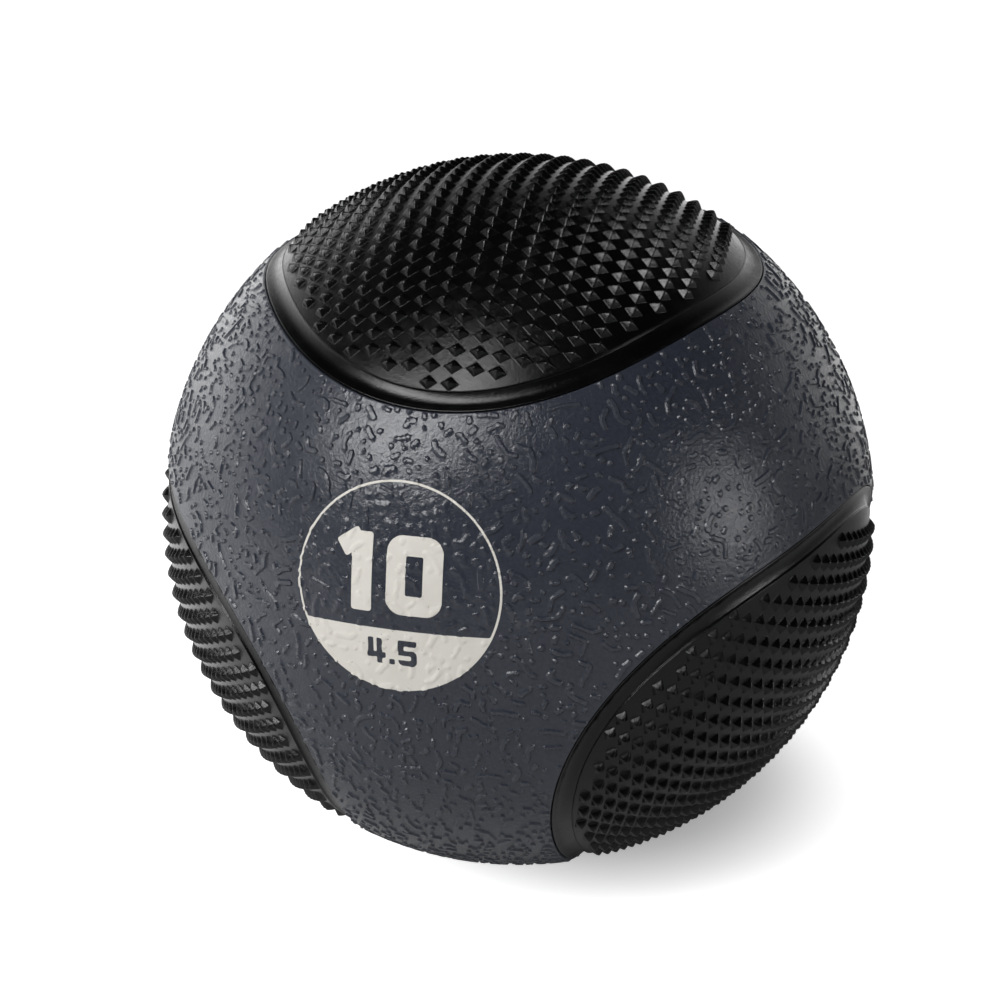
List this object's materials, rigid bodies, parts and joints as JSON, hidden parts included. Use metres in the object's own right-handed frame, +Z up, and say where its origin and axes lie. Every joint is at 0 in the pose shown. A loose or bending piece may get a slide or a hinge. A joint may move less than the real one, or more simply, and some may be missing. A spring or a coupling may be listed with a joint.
{
  "type": "medicine ball",
  "caption": "Weighted rubber ball with textured grey cover and black studded grip panels over a heavy rubber wall, nylon winding and air bladder with a needle valve.",
  "frame": {"origin": "centre of the ball", "axes": "+Z up as the ball rests on the floor, -Y towards the viewer and the printed badge, +X to the viewer's right"},
  "size_m": [0.2284, 0.2282, 0.228],
  "materials": {
    "cover_grey": "semi-gloss moulded rubber with raised worm-shaped texture",
    "grip_black": "satin moulded rubber with pyramid studs",
    "weight_rubber": "matt filled rubber",
    "winding": "wound nylon thread set in latex",
    "bladder_rubber": "smooth butyl rubber",
    "valve_rubber": "smooth moulded rubber",
    "plug_rubber": "soft amber rubber"
  },
  "bodies": {
    "root": {"cover_web": "cover_grey", "grip_panel_top": "grip_black", "grip_panel_left": "grip_black", "grip_panel_right": "grip_black", "grip_panel_back": "grip_black", "weight_shell_valve_half": "weight_rubber", "weight_shell_plain_half": "weight_rubber", "nylon_winding": "winding", "bladder": "bladder_rubber", "valve_housing": "valve_rubber", "valve_core": "plug_rubber"}
  },
  "joints": []
}
